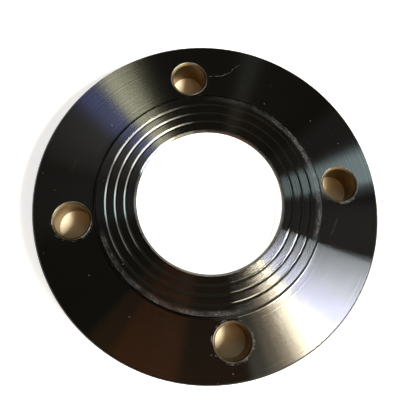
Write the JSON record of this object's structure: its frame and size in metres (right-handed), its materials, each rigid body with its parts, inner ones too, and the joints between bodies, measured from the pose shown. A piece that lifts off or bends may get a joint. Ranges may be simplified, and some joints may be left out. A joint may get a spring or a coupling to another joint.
{
  "type": "plate flange",
  "caption": "Flat round pipe flange, turned and drilled from plate, with a wide open bore, bolt holes and a raised gasket face cut with fine ring grooves.",
  "frame": {"origin": "centre of the bore at the flat back face, on which it rests", "axes": "+Z along the bore axis towards the raised gasket face, +X and +Y through bolt holes"},
  "size_m": [0.185, 0.185, 0.02],
  "materials": {
    "turned_steel": "bright turned, fine concentric tool marks, light scuffs"
  },
  "bodies": {
    "root": {"flange_plate": "turned_steel"}
  },
  "joints": []
}
